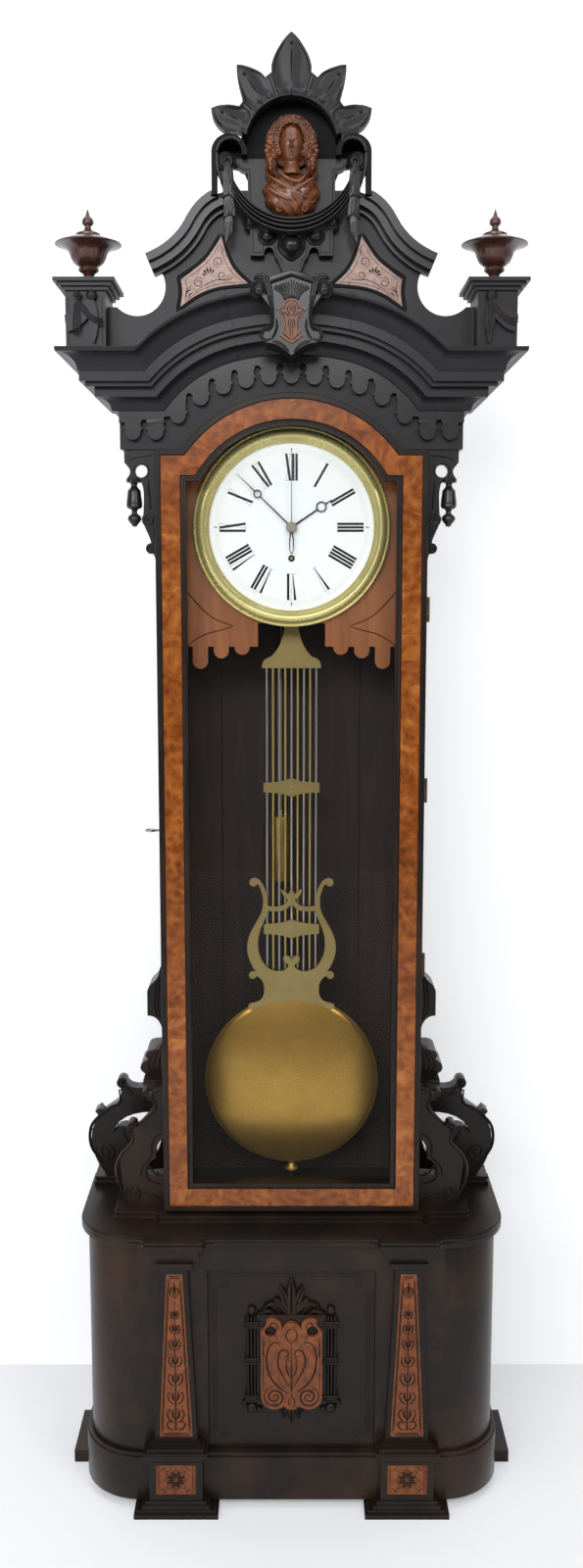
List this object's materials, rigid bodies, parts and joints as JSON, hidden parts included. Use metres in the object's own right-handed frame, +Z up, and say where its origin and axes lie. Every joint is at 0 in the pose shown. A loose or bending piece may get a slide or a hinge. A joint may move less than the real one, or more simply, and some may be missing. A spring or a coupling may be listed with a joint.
{
  "type": "longcase regulator clock",
  "caption": "Tall ebonised regulator clock with an arched glazed door, gridiron pendulum with a lyre, enamel dial and a carved crest with urn finials, driven by a weight",
  "frame": {"origin": "On the floor, under the middle of the clock's box", "axes": "+Z up, the front faces -Y, +X to the right of someone who faces the clock"},
  "size_m": [0.82, 0.305, 2.49],
  "materials": {
    "ebonised_wood": "polished",
    "burl_walnut": "polished",
    "dark_walnut": "satin",
    "red_walnut": "satin",
    "white_enamel": "glossy",
    "case_glass": "clear",
    "gilt_brass": "lacquered",
    "polished_brass": "polished",
    "bronzed_brass": "satin",
    "steel": "brushed",
    "blued_steel": "blued",
    "black_iron": "painted",
    "gut": "matte"
  },
  "bodies": {
    "case": {"base_carcass": "ebonised_wood", "base_top": "ebonised_wood", "base_skirt": "ebonised_wood", "base_front_panel": "ebonised_wood", "base_pilasters": "ebonised_wood", "base_inlays": "burl_walnut", "cartouche_carving": "ebonised_wood", "trunk_plinth": "ebonised_wood", "side_carvings": "ebonised_wood", "trunk_case": "dark_walnut", "back_board": "dark_walnut", "head_case": "ebonised_wood", "frieze_board": "ebonised_wood", "frieze_fret": "ebonised_wood", "cornice": "ebonised_wood", "keystone": "ebonised_wood", "head_inlays": "burl_walnut", "crest_board": "ebonised_wood", "crest_moulding": "ebonised_wood", "finial_pedestals": "ebonised_wood", "urn_finials": "red_walnut", "niche_plate": "ebonised_wood", "niche_hood": "ebonised_wood", "palmette": "ebonised_wood", "bust": "red_walnut", "festoon": "ebonised_wood", "ear_brackets": "ebonised_wood", "dial_mask": "red_walnut", "dial": "white_enamel", "bezel": "gilt_brass", "movement_plates": "gilt_brass", "movement_bracket": "black_iron", "case_hinges": "gilt_brass", "case_lock": "steel", "weight_line": "gut", "barrel_line": "gut"},
    "door": {"door_frame": "ebonised_wood", "door_burl": "burl_walnut", "door_glass": "case_glass", "door_hinges": "gilt_brass"},
    "key": {"case_key": "steel"},
    "hour": {"hour_hand": "blued_steel"},
    "minute": {"minute_hand": "blued_steel", "centre_wheel": "gilt_brass"},
    "seconds": {"seconds_hand": "blued_steel", "escape_wheel": "gilt_brass"},
    "third": {"third_wheel": "gilt_brass"},
    "great": {"great_wheel": "gilt_brass"},
    "barrel_drum": {"barrel": "gilt_brass"},
    "motion": {"motion_wheel": "gilt_brass"},
    "anchor_arbor": {"anchor": "steel"},
    "pendulum": {"suspension_spring": "steel", "pendulum_plates": "bronzed_brass", "steel_rods": "steel", "brass_rods": "polished_brass", "lyre": "bronzed_brass", "bob": "polished_brass"},
    "nut": {"rating_nut": "polished_brass"},
    "drive_weight": {"weight": "gilt_brass"},
    "guide_pulley": {"pulley": "gilt_brass"}
  },
  "joints": [
    {"name": "door_swing", "type": "hinge", "parent": "case", "child": "door", "pos_m": [0.231, -0.0345, 1.25], "axis": [0, 0, 1], "range_deg": [0, 90]},
    {"name": "key_turn", "type": "hinge", "parent": "case", "child": "key", "pos_m": [-0.226, -0.0005, 1.214], "axis": [1, 0, 0], "range_deg": [0, 90]},
    {"name": "seconds_turn", "type": "hinge", "parent": "case", "child": "seconds", "pos_m": [0, -0.0025, 1.738], "axis": [0, 1, 0], "continuous": true},
    {"name": "minute_turn", "type": "hinge", "parent": "case", "child": "minute", "pos_m": [0, -0.0025, 1.738], "axis": [0, 1, 0], "continuous": true},
    {"name": "hour_turn", "type": "hinge", "parent": "case", "child": "hour", "pos_m": [0, -0.0025, 1.738], "axis": [0, 1, 0], "continuous": true},
    {"name": "third_turn", "type": "hinge", "parent": "case", "child": "third", "pos_m": [0.02949, 0.0235, 1.75865], "axis": [0, 1, 0], "continuous": true},
    {"name": "great_turn", "type": "hinge", "parent": "case", "child": "great", "pos_m": [0, 0.0155, 1.686], "axis": [0, 1, 0], "continuous": true},
    {"name": "motion_turn", "type": "hinge", "parent": "case", "child": "motion", "pos_m": [-0.01663, 0.0005, 1.7476], "axis": [0, 1, 0], "continuous": true},
    {"name": "pendulum_swing", "type": "hinge", "parent": "case", "child": "pendulum", "pos_m": [0, 0.0525, 1.778], "axis": [0, 1, 0], "range_deg": [-1.5, 1.5]},
    {"name": "anchor_rock", "type": "hinge", "parent": "case", "child": "anchor_arbor", "pos_m": [0, 0.0325, 1.778], "axis": [0, 1, 0], "range_deg": [-1.5, 1.5]},
    {"name": "nut_turn", "type": "hinge", "parent": "pendulum", "child": "nut", "pos_m": [0, 0.0525, 0.572], "axis": [0, 0, 1], "range_deg": [-360, 360]},
    {"name": "weight_travel", "type": "slide", "parent": "case", "child": "drive_weight", "axis": [0, 0, 1], "range_m": [-0.55, 0.3], "deforming": ["weight_line"]},
    {"name": "barrel_turn", "type": "hinge", "parent": "case", "child": "barrel_drum", "pos_m": [0, 0.0275, 1.686], "axis": [0, 1, 0], "range_deg": [-910, 1665]},
    {"name": "pulley_turn", "type": "hinge", "parent": "case", "child": "guide_pulley", "pos_m": [-0.019, 0.0695, 1.88], "axis": [1, 0, 0], "range_deg": [-752, 411]}
  ],
  "couplings": [
    {"joint": "minute_turn", "follows": "seconds_turn", "ratio": 0.016667},
    {"joint": "hour_turn", "follows": "seconds_turn", "ratio": 0.0013889},
    {"joint": "third_turn", "follows": "seconds_turn", "ratio": -0.13333},
    {"joint": "great_turn", "follows": "seconds_turn", "ratio": -0.0013889},
    {"joint": "motion_turn", "follows": "seconds_turn", "ratio": -0.0055556},
    {"joint": "anchor_rock", "follows": "pendulum_swing", "ratio": 1},
    {"joint": "barrel_turn", "follows": "weight_travel", "rad_per_m": -52.632},
    {"joint": "pulley_turn", "follows": "weight_travel", "rad_per_m": 23.81}
  ]
}
